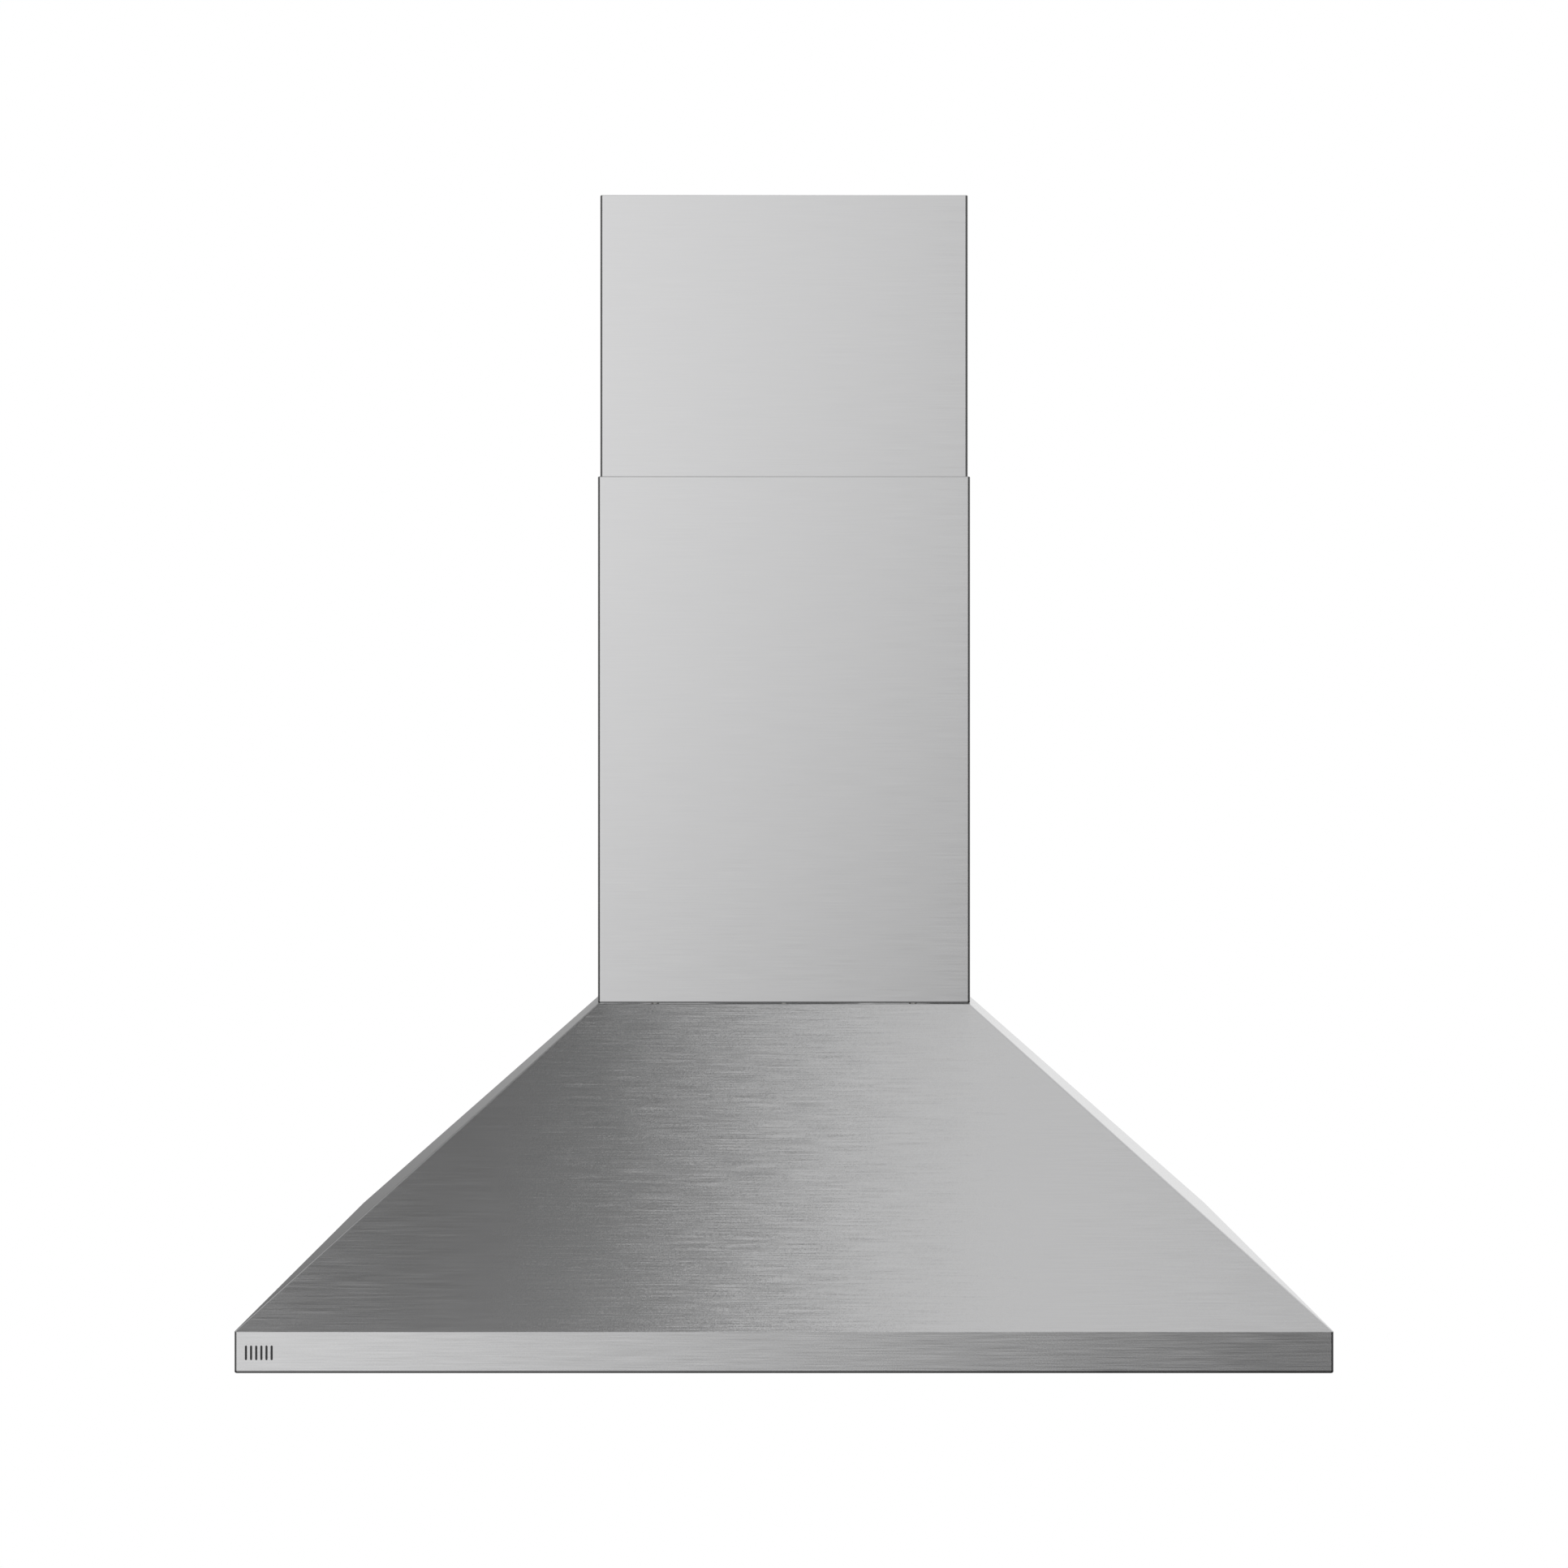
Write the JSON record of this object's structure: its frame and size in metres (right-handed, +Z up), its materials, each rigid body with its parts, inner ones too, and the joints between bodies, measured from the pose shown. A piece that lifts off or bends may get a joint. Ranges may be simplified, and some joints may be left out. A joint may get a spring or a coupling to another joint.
{
  "type": "wall mount range hood",
  "caption": "Stainless wall mount range hood with a sloped canopy, plain front rim, baffle filters and a telescoping chimney cover",
  "frame": {"origin": "centre of the four wall screw holes, on the wall plane at the back of the canopy", "axes": "+X to the right seen from the room, +Y into the wall, +Z up along the chimney"},
  "size_m": [0.9, 0.5, 1.03],
  "materials": {
    "brushed_stainless": "horizontal brushed grain",
    "filter_stainless": "satin",
    "galvanised_steel": "spangled zinc",
    "black_plastic": "matt, moulded",
    "gloss_black": "gloss",
    "satin_chrome": "satin chrome",
    "cast_metal": "as cast, fine grain",
    "frosted_lens": "frosted",
    "circuit_board": "solder mask",
    "wheel_steel": "rolled, dull",
    "capacitor_white": "smooth",
    "zinc_screws": "bright zinc"
  },
  "bodies": {
    "canopy": {"canopy_shell": "brushed_stainless", "rim_vent_insert": "black_plastic", "back_panel": "galvanised_steel", "top_plate": "galvanised_steel", "underside_pan": "brushed_stainless", "control_bezel": "gloss_black", "control_box": "black_plastic", "switch_board": "circuit_board", "lamp_left_body": "cast_metal", "lamp_left_bezel": "satin_chrome", "lamp_left_lens": "frosted_lens", "lamp_right_body": "cast_metal", "lamp_right_bezel": "satin_chrome", "lamp_right_lens": "frosted_lens", "scroll_wall": "galvanised_steel", "scroll_plate_left": "galvanised_steel", "scroll_plate_right": "galvanised_steel", "motor": "cast_metal", "motor_bracket": "galvanised_steel", "capacitor": "capacitor_white", "outlet_collar": "galvanised_steel", "damper_pin": "wheel_steel", "junction_box": "galvanised_steel", "junction_cover": "galvanised_steel", "lower_duct_cover": "brushed_stainless", "cover_upstand_left": "galvanised_steel", "cover_upstand_right": "galvanised_steel", "deck_screws": "zinc_screws", "blower_screws": "zinc_screws", "collar_screws": "zinc_screws", "motor_screws": "zinc_screws", "junction_screws": "zinc_screws", "cover_screws": "zinc_screws"},
    "upper_cover": {"upper_duct_cover": "brushed_stainless", "ceiling_bracket": "galvanised_steel", "bracket_screws": "zinc_screws"},
    "filter_left": {"filter_left_frame": "filter_stainless", "filter_left_lower_baffles": "filter_stainless", "filter_left_upper_baffles": "filter_stainless", "filter_left_latch_rivets": "zinc_screws"},
    "filter_right": {"filter_right_frame": "filter_stainless", "filter_right_lower_baffles": "filter_stainless", "filter_right_upper_baffles": "filter_stainless", "filter_right_latch_rivets": "zinc_screws"},
    "latch_left": {"filter_left_latch": "filter_stainless"},
    "latch_right": {"filter_right_latch": "filter_stainless"},
    "blower_wheel": {"impeller": "wheel_steel", "motor_shaft": "wheel_steel"},
    "flap_front": {"damper_flap_front": "galvanised_steel"},
    "flap_rear": {"damper_flap_rear": "galvanised_steel"},
    "push_button_1": {"button_1": "satin_chrome"},
    "push_button_2": {"button_2": "satin_chrome"},
    "push_button_3": {"button_3": "satin_chrome"},
    "push_button_4": {"button_4": "satin_chrome"},
    "push_button_5": {"button_5": "satin_chrome"}
  },
  "joints": [
    {"name": "upper_cover_slide", "type": "slide", "parent": "canopy", "child": "upper_cover", "axis": [0, 0, 1], "range_m": [-0.24, 0.15]},
    {"name": "blower_spin", "type": "hinge", "parent": "canopy", "child": "blower_wheel", "pos_m": [0, -0.101, 0.02125], "axis": [1, 0, 0], "continuous": true},
    {"name": "flap_front_hinge", "type": "hinge", "parent": "canopy", "child": "flap_front", "pos_m": [0, -0.14, 0.161], "axis": [-1, 0, 0], "range_deg": [0, 75]},
    {"name": "flap_rear_hinge", "type": "hinge", "parent": "canopy", "child": "flap_rear", "pos_m": [0, -0.14, 0.161], "axis": [1, 0, 0], "range_deg": [0, 75]},
    {"name": "filter_left_hinge", "type": "hinge", "parent": "canopy", "child": "filter_left", "pos_m": [0, -0.076, -0.12885], "axis": [1, 0, 0], "range_deg": [0, 75]},
    {"name": "latch_left_slide", "type": "slide", "parent": "filter_left", "child": "latch_left", "axis": [0, 1, 0], "range_m": [0, 0.006], "stiffness_N_per_m": 500, "springref_m": -0.004},
    {"name": "filter_right_hinge", "type": "hinge", "parent": "canopy", "child": "filter_right", "pos_m": [0, -0.076, -0.12885], "axis": [1, 0, 0], "range_deg": [0, 75]},
    {"name": "latch_right_slide", "type": "slide", "parent": "filter_right", "child": "latch_right", "axis": [0, 1, 0], "range_m": [0, 0.006], "stiffness_N_per_m": 500, "springref_m": -0.004},
    {"name": "button_1_press", "type": "slide", "parent": "canopy", "child": "push_button_1", "axis": [0, 0, 1], "range_m": [0, 0.002], "stiffness_N_per_m": 500, "springref_m": -0.002},
    {"name": "button_2_press", "type": "slide", "parent": "canopy", "child": "push_button_2", "axis": [0, 0, 1], "range_m": [0, 0.002], "stiffness_N_per_m": 500, "springref_m": -0.002},
    {"name": "button_3_press", "type": "slide", "parent": "canopy", "child": "push_button_3", "axis": [0, 0, 1], "range_m": [0, 0.002], "stiffness_N_per_m": 500, "springref_m": -0.002},
    {"name": "button_4_press", "type": "slide", "parent": "canopy", "child": "push_button_4", "axis": [0, 0, 1], "range_m": [0, 0.002], "stiffness_N_per_m": 500, "springref_m": -0.002},
    {"name": "button_5_press", "type": "slide", "parent": "canopy", "child": "push_button_5", "axis": [0, 0, 1], "range_m": [0, 0.002], "stiffness_N_per_m": 500, "springref_m": -0.002}
  ]
}
